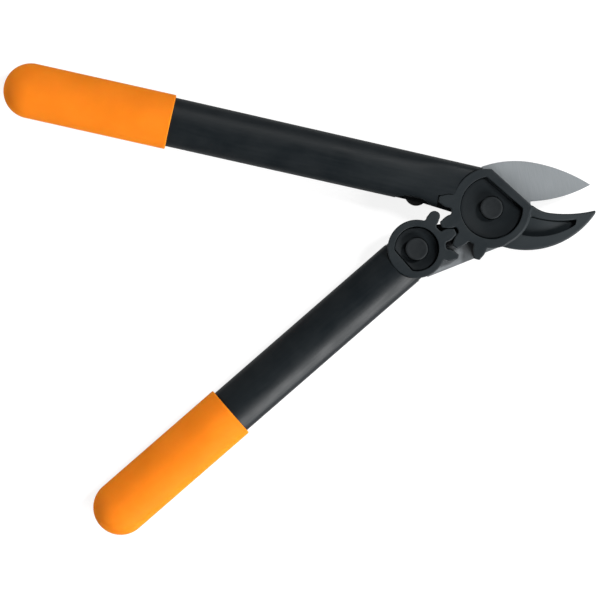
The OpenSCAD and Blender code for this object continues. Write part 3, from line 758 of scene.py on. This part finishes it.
def turned_row_tree():
    """Turned pieces in a row along x: a profile swept round, with a socket for the key, and repeated."""
    tree, keys, given = node_tree(
        "turned_row", Object=["Profile"], Int=["Segments", "Count"], Material=["Finish"],
        Float=["Pitch", "Socket radius", "Socket depth", "Socket level"])
    new, tiny = partial(output, tree), 1e-6
    path = new("GeometryNodeCurvePrimitiveCircle", {"Resolution": given["Segments"], "Radius": tiny})
    profile = node(tree, "GeometryNodeObjectInfo", {"Object": given["Profile"]}).outputs["Geometry"]
    swept = new("GeometryNodeCurveToMesh", {"Curve": path, "Profile Curve": profile})
    closed = new("GeometryNodeMergeByDistance", {"Geometry": swept, "Distance": 4 * tiny})
    key = new("GeometryNodeMeshCylinder", {
        "Vertices": 6, "Radius": given["Socket radius"],
        "Depth": calc(tree, "MULTIPLY", given["Socket depth"], 2.0)})
    level = new("ShaderNodeCombineXYZ", {"Z": given["Socket level"]})
    sunk = new("GeometryNodeTransform", {"Geometry": key, "Translation": level})
    drilled = new("GeometryNodeMeshBoolean", {"Mesh 1": closed, "Mesh 2": sunk},
                  operation="DIFFERENCE", solver="EXACT")
    step = new("ShaderNodeCombineXYZ", {"X": given["Pitch"]})
    places = new("GeometryNodeMeshLine", {"Count": given["Count"], "Offset": step})
    row = new("GeometryNodeInstanceOnPoints", {"Points": places, "Instance": drilled})
    tree_end(tree, row, given["Finish"])
    return tree, keys


def flat_curve(name, points, closed):
    """A line of points as a curve object, for a tree to read."""
    curve = bpy.data.curves.new(name, "CURVE")
    curve.dimensions = "3D"
    spline = curve.splines.new("POLY")
    spline.points.add(len(points) - 1)
    spline.points.foreach_set("co", [c for x, y in points for c in (x * MM, y * MM, 0, 1)])
    spline.use_cyclic_u = closed
    return new_object(name, curve)


def grown(tree, keys, values, where):
    """The mesh that a tree gives for these values, put in its place."""
    carrier = new_object("carrier", bpy.data.meshes.new("carrier"))
    modifier = carrier.modifiers.new("Grow", "NODES")
    modifier.node_group = tree
    for label, value in values.items():
        modifier[keys[label]] = value
    mesh = evaluated(carrier)
    carrier.modifiers.clear()
    bpy.data.objects.remove(carrier)
    mesh.transform(where)
    return mesh


# Shafts and grips

ALONG = Matrix(((0, 0, 1, 0), (1, 0, 0, 0), (0, 1, 0, 0), (0, 0, 0, 1)))


def oval_run(grow, start, end, where, to_head=False):
    """A closed run of the oval section. Towards the head its front flattens and its sides flare and taper."""
    line = even(oval_line(grow), step=0.5)
    half = SHAFT_W / 2 + grow
    flat = np.clip(1 - (np.abs(line[:, 0]) / half) ** FLAT_SIDES, 0, 1) ** (1 / FLAT_EDGES)
    flat *= FACE_Z + FLAT_OVER
    split = start + FINE_RUN
    places = [*np.arange(start, min(end, split), FINE_STEP)]
    places += [*np.linspace(split, end, COARSE_RINGS)[1:]] if end > split else [end]
    rings = []
    for u in places:
        shape = line.copy()
        if to_head:
            x, y = shape.T
            front = y + (np.maximum(y, flat) - y) * ramp((FLAT_FROM - u) / FLAT_RUN)
            flare = SHAFT_FLARE * max(0, FLARE_FROM - u) / half
            taper = SHAFT_TAPER * (SHAFT_TAPER_FROM - u) / half
            shape = np.column_stack((x * np.where(x > 0, 1 + flare, 1 - taper), np.where(y > 0, front, y)))
        rings.append((shape, u))
    return Rings().closed(rings).mesh("run", where @ ALONG)


def swing_cuts():
    """Room for the lever's head and teeth in the front of the upper shaft and tang."""
    side = tooth_side(HEAD_PITCH_R, HEAD_TEETH, TOOTH_ROUND)[:FLANK_POINTS]
    flank = np.column_stack((side[:, 0], -side[:, 1] - FLANK_GAP))
    start, end = 6, HEAD_TIP_R + SWING_GAP
    room = [(start, flank[0][1]), *flank, (end, flank[-1][1]), (end, HEAD_R), (start, HEAD_R)]
    floor = FORK_Z - SWING_GAP
    return [prism(turned(room, HEAD_ANGLES[0]), floor, FAR, MAIN),
            drum(LEVER_R + SWING_GAP, floor, FAR + 1, place(LEVER_SHUT_AT))]


def flare_cuts():
    """Room in the flare of the upper shaft for the lever's teeth and the blade's tail, when shut."""
    below_side = UPPER_OFFSET - SHAFT_W / 2 + 0.1
    tips = np.array(arc(LEVER_SHUT_AT, LEVER_PITCH_R + ADDENDUM + SWING_GAP, 0, 360)[:-1])
    below = under(tips, below_side, UPPER_ANGLE - 90)
    return [prism(below, FORK_Z - SWING_GAP, FAR + 2, MAIN),
            prism(belt(ORIGIN, HUB_SLOT_R, LEVER_SHUT_AT, TAIL_SLOT_R), -FORK_Z, FORK_Z, MAIN)]


def stop_seat():
    return drum(STOP_R + FIT, -FAR - 1, STOP_HIGH + FIT, STOP, count=96)


def screw_places(shaft, reach):
    return [shaft @ shift(reach - SCREW_INSET - i * SCREW_PITCH) for i in (0, 1)]


def screw_seats(shaft, reach):
    top = SCREW_LOW + SCREW_HEAD_T + FIT
    return [drum(SCREW_HEAD_R + FIT, -FAR, top, where, count=48) for where in screw_places(shaft, reach)]


def seam(r, at, deg):
    """A short groove in a shaft along the edge of a head, widest in one direction."""
    return drum(r - SEAM_BEND, SEAM_Z, FAR, place(at + polar(SEAM_BEND + SEAM_W, deg)))


def make_shafts():
    """Both shafts, cut out for the heads, the swing of the lever, the rubber stop and the screws."""
    upper_end = UPPER_REACH - UPPER_GRIP_LEN + SHAFT_IN_GRIP
    upper = carved("upper_shaft", oval_run(0, UPPER_START, upper_end, UPPER, to_head=True), cut=[
        drum(HEAD_R - HEAD_OVERLAP, SPLIT_LOW, FAR, MAIN),
        drum(HEAD_CHEEK_R + CHEEK_GAP, -FAR, SPLIT_HIGH, MAIN),
        *flare_cuts(), *swing_cuts(), stop_seat(), *screw_seats(UPPER, UPPER_TANG),
        seam(HEAD_R, ORIGIN, UPPER_SEAM)])
    finished("upper_shaft_moulding", upper, UPPER_BLACK, "upper_handle", ["upper_shaft"])
    lower_end = LOWER_REACH - LOWER_GRIP_LEN + SHAFT_IN_GRIP
    lower = carved("lower_shaft", oval_run(0, LOWER_START, lower_end, LOWER), cut=[
        drum(LEVER_R - LEVER_OVERLAP, SPLIT_LOW, FAR, LEVER),
        drum(LEVER_R + LEVER_BACK_GAP, -FAR, SPLIT_HIGH, LEVER),
        drum(TAIL_SLOT_R + CHEEK_GAP, -FORK_Z, FORK_Z, LEVER), *screw_seats(LOWER, LOWER_TANG),
        *[seam(LEVER_R, LEVER_AT, deg) for deg in LOWER_SEAMS]])
    finished("lower_shaft_moulding", lower, LOWER_BLACK, "lower_handle", ["lower_shaft"])


def make_grips():
    """Both sleeves, grown by one tree of nodes."""
    tree, keys = sleeve_tree()
    section = flat_curve("grip_section", even(oval_line(GRIP_WALL), step=0.7), closed=True)
    for name, reach, length, where, finish, body in (
            ("upper_grip", UPPER_REACH, UPPER_GRIP_LEN, UPPER, UPPER_ORANGE, "upper_handle"),
            ("lower_grip", LOWER_REACH, LOWER_GRIP_LEN, LOWER, LOWER_ORANGE, "lower_handle")):
        mesh = grown(tree, keys, {
            "Section": section, "Length": length * MM, "Half width": (SHAFT_W / 2 + GRIP_WALL) * MM,
            "Lip": GRIP_LIP * MM, "Rings": 121, "Finish": finish}, where @ shift(reach - length))
        finished(name + "_sleeve", mesh, finish, body, [name], sharp=50)
    bpy.data.objects.remove(section)


# Fork heads, hook and lever

def cheek(r, where):
    """The rear cheek of a fork head, with its seat for the nut."""
    profile = [(0, -FORK_Z), (r - CHEEK_BEVEL, -FORK_Z), (r, -FORK_Z - CHEEK_BEVEL)]
    profile += [(r - d, -FACE_Z + z) for d, z in quarter(CHEEK_EDGE)]
    profile += [(NUT_SEAT_R + NUT_SEAT_EDGE + HOLD, -FACE_Z)]
    profile += [(NUT_SEAT_R + d, -FACE_Z + z) for d, z in quarter(NUT_SEAT_EDGE)[::-1]]
    profile += [(NUT_SEAT_R, NUT_SEAT_Z), (0, NUT_SEAT_Z)]
    return lathe(profile, where, count=120)


def hook_blend():
    """A cove where the raised head runs down onto the face of the hook."""
    thin, sink, depth, inside = 0.02, 0.05, 0.8, 2.5
    solid, rows = Rings(), []
    for a in np.linspace(*HOOK_SIDE, 60):
        share = min(1, (a - HOOK_SIDE[0]) / HOOK_SIDE_RAMP, (HOOK_SIDE[1] - a) / HOOK_SIDE_RAMP)
        r = thin + HOOK_COVE * sqrt(max(0, share))
        edge, floor = HEAD_R - head_dip(a), HOOK_HIGH - depth
        cove = [(edge - sink + d, HOOK_HIGH + z - thin / 2) for d, z in quarter(r, count=9)]
        section = [(edge - inside, floor), (edge - inside, HOOK_HIGH + r - thin), *cove,
                   (edge + r - sink, floor)]
        first = len(solid.points)
        solid.points += [(*polar(rho, a), z) for rho, z in section]
        rows.append(range(first, len(solid.points)))
    for a, b in zip(rows, rows[1:]):
        solid.bridge(a, b)
    solid.faces += [tuple(rows[0])[::-1], tuple(rows[-1])]
    return solid.mesh("blend", MAIN)


def fork_plate(line, recess, where):
    """The front plate of a fork head, with the recess for the washer and the bolt's head."""
    sunk = [(softened(d_line(*recess), RECESS_SOFT), RECESS_Z, *RECESS_EDGES)]
    return plate(softened(line, HEAD_SOFT), FORK_Z, FACE_Z, HEAD_EDGES, sunk).mesh("head", where)


def slotted_tang(run, where, slot_r, pivot, cut=()):
    """The part of a fork head that fills its shaft, with the slot for the blade."""
    slot = drum(slot_r, -FORK_Z - FIT, FORK_Z + FIT, pivot)
    return carved("tang", oval_run(-SHAFT_WALL - FIT, *run, where), cut=[slot, *cut])


def make_hook_jaw():
    head = fork_plate(head_line(), (HEAD_R - HEAD_RIM, HEAD_FLAT, HEAD_FLAT_ANGLE), MAIN)
    pocket = softened(pocket_line(), POCKET_SOFT)
    pocket_edge = POCKET_LOW_EDGE + POCKET_MORE_EDGE * pocket_rise(pocket)[0] ** 2
    hook = plate(softened(hook_line(), HOOK_SOFT), HOOK_LOW, HOOK_HIGH, HOOK_EDGES,
                 [(pocket, pocket_floor, pocket_edge, 0)]).mesh("hook", MAIN)
    recess_room = 0.3
    hook = carved("hook", hook, cut=[
        drum(HEAD_R - HEAD_RIM + recess_room, RECESS_Z - recess_room, FAR, MAIN)])
    tang = slotted_tang(UPPER_TANG_RUN, UPPER, HUB_SLOT_R, MAIN, [*swing_cuts(), stop_seat()])
    mesh = carved("hook_jaw", head, joined=[hook, hook_blend(), cheek(HEAD_CHEEK_R, MAIN), tang])
    finished("hook_jaw_moulding", mesh, HEAD_BLACK, "upper_handle", ["hook_jaw"])


def make_lever_gear():
    head = fork_plate(lever_line(), (LEVER_R - LEVER_RIM, LEVER_FLAT, LOWER_ANGLE), LEVER)
    tang = slotted_tang(LOWER_TANG_RUN, LOWER, TAIL_SLOT_R, LEVER)
    mesh = carved("lever_gear", head, joined=[cheek(LEVER_CHEEK_R, LEVER), tang])
    finished("lever_gear_moulding", mesh, HEAD_BLACK, "lower_handle", ["lever_gear"])


# Pivot pieces, stop, screws and blade

def seat_washer(r, flat, flat_gap, deg, where):
    """A washer with one flat side, dished down to the bolt head."""
    foot, mouth_draft, dish_rings = RECESS_Z - 0.1, 0.99, 7
    line = softened(d_line(r - SEAT_GAP, flat - flat_gap, deg), spread=0.6) + (SEAT_SHIFT, 0)
    mouth = np.array([polar(BOLT_HEAD_R + MOUTH_GAP, angle_at(ORIGIN, p)) for p in line])
    run = r - SEAT_GAP - BOLT_HEAD_R

    def level(points):
        share = (np.linalg.norm(points, axis=1) - BOLT_HEAD_R) / run
        return SEAT_Z + (SEAT_RIM_Z - SEAT_Z) * np.maximum(share, 0) ** SEAT_DISH

    rim = inset(line, SEAT_EDGE + HOLD)
    top = level(rim)
    rings = [(line, foot), (line, top - SEAT_EDGE)]
    rings += [(inset(line, d), top - z) for d, z in quarter(SEAT_EDGE)[1:]]
    for share in np.linspace(0, 1, dish_rings):
        ring = rim + (mouth - rim) * share
        rings.append((ring, level(ring)))
    rings += [(mouth * mouth_draft, SEAT_Z - MOUTH_DEPTH)]
    return Rings().closed(rings).mesh("seat_washer", where)


def bolt(where):
    """A plain bolt head with a rounded rim and a faintly dished face, and its shank."""
    dish = ((0, 0.16), (4.3, 0.16), (5.0, 0.10), (5.6, 0.01), (5.9, 0))
    low, low_edge, end = SEAT_Z - MOUTH_DEPTH, 0.25, NUT_SEAT_Z - 0.5
    profile = [(r, FACE_Z - drop) for r, drop in dish]
    profile += [(BOLT_HEAD_R - d, FACE_Z - z) for d, z in quarter(BOLT_EDGE)[::-1]]
    profile += [(BOLT_HEAD_R, low + low_edge), (BOLT_HEAD_R - low_edge, low), (BOLT_R, low - 0.02),
                (BOLT_R, end), (0, end)]
    return lathe(profile, where, count=96)


def nut(where):
    """A closed hexagon nut, chamfered at its outer end, with the mark of the bolt's end."""
    angles = np.linspace(0, 360, 144, endpoint=False)
    half = NUT_AF / 2
    six = np.array([half / cos(radians((a % 60) - 30)) for a in angles])
    chamfer = ((1.1, FAR), (0.8, half + 0.95), (0.5, half + 0.6), (0.2, half + 0.12), (0.03, half - 0.12),
               (0, half - 0.3), (0, half - 0.5))
    bolt_mark = ((0, BOLT_R + 0.1), (0.25, BOLT_R - 0.1), (0.25, BOLT_R - 0.3))
    levels = [(NUT_Z, FAR), *[(z - MID_Z, limit) for z, limit in chamfer + bolt_mark]]
    rings = [([polar(min(r, limit), a) for r, a in zip(six, angles)], z) for z, limit in levels]
    return Rings().closed(rings, up=False).mesh("nut", where)


def nut_washer(where):
    """A plain washer under a nut, with eased edges."""
    r, top, low, edge = NUT_WASHER_R, NUT_SEAT_Z, NUT_SEAT_Z - NUT_WASHER_T, NUT_WASHER_EDGE
    profile = [(BOLT_R, top), (r - edge, top), (r, top - edge),
               (r, low + edge), (r - edge, low), (BOLT_R, low)]
    return lathe(profile, where, count=84)


def make_pivots():
    """Bolt, dished washer, nut and back washer of both pivots."""
    for name, where, body, seat in (
            ("main", MAIN, "upper_handle", (HEAD_R - HEAD_RIM, HEAD_FLAT, HEAD_FLAT_GAP, HEAD_FLAT_ANGLE)),
            ("lever", LEVER, "lower_handle", (LEVER_R - LEVER_RIM, LEVER_FLAT, LEVER_FLAT_GAP, LOWER_ANGLE))):
        finished(name + "_bolt", bolt(where), BOLT_BLACK, body, [name + "_pivot_bolt"])
        finished(name + "_dished_washer", seat_washer(*seat, where), WASHER_BLACK, body,
                 [name + "_seat_washer"], sharp=50)
        finished(name + "_nut", nut(where), BOLT_BLACK, body, [name + "_pivot_nut"],
                 sharp=25)
        finished(name + "_back_washer", nut_washer(where), BOLT_BLACK, body, [name + "_nut_washer"])


def make_stop():
    profile = [(0, STOP_HIGH), (STOP_R - STOP_EDGE, STOP_HIGH)]
    profile += [(STOP_R - d, STOP_HIGH - z) for d, z in quarter(STOP_EDGE)[::-1]]
    profile += [(STOP_R - d, STOP_LOW + z) for d, z in quarter(STOP_EDGE)]
    profile += [(0, STOP_LOW)]
    finished("rubber_stop", lathe(profile, STOP), RUBBER, "upper_handle", ["stop_bumper"])


def make_screws():
    """Two screws in the back of each shaft, with a hexagon socket in the head."""
    tree, keys = turned_row_tree()
    head, shank, low = SCREW_HEAD_R, SCREW_SHANK_R, SCREW_LOW
    rise = [(0, 0), (head - 0.5, 0), (head - 0.15, 0.15), (head, 0.5), (head, SCREW_HEAD_T),
            (shank, SCREW_HEAD_T), (shank, SCREW_LEN - 0.3), (shank - 0.3, SCREW_LEN), (0, SCREW_LEN)]
    line = flat_curve("screw_profile", [(r, -low - z) for r, z in rise], closed=False)
    for tang, body, shaft, reach in (("upper", "upper_handle", UPPER, UPPER_TANG),
                                     ("lower", "lower_handle", LOWER, LOWER_TANG)):
        mesh = grown(tree, keys, {
            "Profile": line, "Segments": 48, "Count": 2, "Pitch": SCREW_PITCH * MM,
            "Socket radius": SCREW_SOCKET_R * MM, "Socket depth": SCREW_SOCKET_T * MM,
            "Socket level": low * MM, "Finish": PLAIN_STEEL}, screw_places(shaft, reach)[1])
        finished(tang + "_tang_screw_pair", mesh, PLAIN_STEEL, body, [tang + "_tang_screws"])
    bpy.data.objects.remove(line)


def tail_side():
    """A strip that makes the lower side of the blade's tail a little fuller, from the lever's pivot on."""
    out = polar(1, CARRIER_ANGLE + degrees(acos((HUB_R - TAIL_CORNER_R) / PIVOT_SPACING)))
    corner, hub = LEVER_AT + TAIL_CORNER_R * out, HUB_R * out
    line = [corner + (hub - corner) * share + full * out for share, full in TAIL_FULL]
    return prism(np.array([corner - out, *line, line[-1] - out]), -BLADE_T / 2, BLADE_T / 2, MAIN)


def cleaned(mesh):
    """The mesh with its doubles merged and its flat faces whole."""
    bm = bmesh.new()
    bm.from_mesh(mesh)
    bmesh.ops.remove_doubles(bm, verts=bm.verts, dist=2e-6)
    bmesh.ops.dissolve_limit(bm, angle_limit=radians(0.5), verts=bm.verts, edges=bm.edges)
    bm.to_mesh(mesh)
    bm.free()
    return mesh


def make_blade():
    """The blade's solid with a fuller tail and its edges eased."""
    mesh = cleaned(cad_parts["blade"].data.copy())
    mesh = cleaned(carved("blade", mesh, joined=[tail_side()]))
    obj = new_object("eased", mesh)
    ease = obj.modifiers.new("Ease", "BEVEL")
    ease.width, ease.segments, ease.limit_method = 0.14 * MM, 2, "ANGLE"
    ease.angle_limit, ease.use_clamp_overlap = radians(50), False
    made = evaluated(obj)
    bpy.data.objects.remove(obj)
    finished("blade_leaf_and_tail", made, BLADE_STEEL, "blade", ["blade"], sharp=15)


make_shafts()
make_grips()
make_hook_jaw()
make_lever_gear()
make_pivots()
make_stop()
make_screws()
make_blade()

# The pieces inside the pivots keep their CAD shape
for name in ("main_pivot_bush", "lever_pivot_bush", "main_glide_washers", "lever_glide_washers"):
    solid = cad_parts[name]
    solid.data.materials.clear()
    solid.data.materials.append(PLAIN_STEEL)


# Floor, light and camera

WHITE = (1, 1, 1, 1)


def sight_rays(tree, mirrored):
    """1 for what the camera sees, and a share of that for what shows in polished and clear surfaces."""
    path = node(tree, "ShaderNodeLightPath").outputs
    shine = calc(tree, "MAXIMUM", path["Is Glossy Ray"], path["Is Transmission Ray"])
    return calc(tree, "MAXIMUM", path["Is Camera Ray"], calc(tree, "MULTIPLY", shine, mirrored))


def make_floor():
    """A white floor that keeps a faint shadow where it is seen, and is plain grey paint for the light."""
    half, z = 6, -0.0002
    mesh = bpy.data.meshes.new("floor")
    corners = [(-half, -half, z), (half, -half, z), (half, half, z), (-half, half, z)]
    mesh.from_pydata(corners, [], [(0, 1, 2, 3)])
    material, tree = new_finish("white_floor")
    tree.nodes.remove(tree.nodes["Principled BSDF"])
    paint = output(tree, "ShaderNodeBsdfDiffuse", {"Color": (0.4, 0.4, 0.4, 1)})
    faint = output(tree, "ShaderNodeBsdfDiffuse", {"Color": (0.25, 0.25, 0.25, 1)})
    glow = output(tree, "ShaderNodeEmission", {"Color": WHITE, "Strength": 0.84})
    seen = output(tree, "ShaderNodeAddShader", {0: glow, 1: faint})
    mixed = output(tree, "ShaderNodeMixShader", {0: sight_rays(tree, mirrored=0.25), 1: paint, 2: seen})
    tree.links.new(mixed, tree.nodes["Material Output"].inputs["Surface"])
    floor = new_object("floor", mesh)
    mesh.materials.append(material)


def lamp(name, azimuth, elevation, distance, size, power):
    light = bpy.data.lights.new(name, "AREA")
    light.shape, light.size, light.energy = "DISK", size, power
    obj = new_object(name, light)
    a, e = radians(azimuth), radians(elevation)
    aim = Vector((-0.10, -0.03, 0.01))
    way = Vector((cos(e) * cos(a), cos(e) * sin(a), sin(e)))
    obj.location = aim + distance * way
    obj.visible_camera = False
    obj.rotation_mode = "QUATERNION"
    obj.rotation_quaternion = (aim - obj.location).to_track_quat("-Z", "Y")


def make_light():
    """A dim world that is white to the camera, and four soft lamps."""
    world = bpy.data.worlds.new("studio")
    bpy.context.scene.world = world
    world.use_nodes = True
    tree = world.node_tree
    soft = tree.nodes["Background"]
    soft.inputs["Color"].default_value = WHITE
    soft.inputs["Strength"].default_value = 0.07
    white = output(tree, "ShaderNodeBackground", {"Color": WHITE, "Strength": 1.0})
    mixed = output(tree, "ShaderNodeMixShader",
                   {0: sight_rays(tree, mirrored=0.06), 1: soft.outputs[0], 2: white})
    tree.links.new(mixed, tree.nodes["World Output"].inputs["Surface"])
    lamp("key_from_the_right", azimuth=31, elevation=45, distance=4.0, size=0.75, power=134.0)
    lamp("rim_from_the_lower_right", azimuth=-50, elevation=24, distance=3.0, size=2.2, power=145.0)
    lamp("fill_from_the_left", azimuth=172, elevation=20, distance=4.0, size=2.0, power=72.0)
    lamp("soft_light_from_behind", azimuth=80, elevation=42, distance=4.0, size=1.2, power=20.0)


def make_camera():
    """A long lens that looks straight down, with 379.6 mm across the picture at the middle of the tool."""
    lens, sensor, frame_w, centre, level = 500.0, 36.0, 379.6, (-121.1, -58.3), MID_Z + 2
    camera = bpy.data.cameras.new("camera")
    camera.lens, camera.sensor_width, camera.clip_start, camera.clip_end = lens, sensor, 0.05, 20
    obj = new_object("camera", camera)
    obj.location = Vector((*centre, level + lens / sensor * frame_w)) * MM
    bpy.context.scene.camera = obj


make_floor()
make_light()
make_camera()
bpy.context.scene.view_settings.view_transform = "Standard"
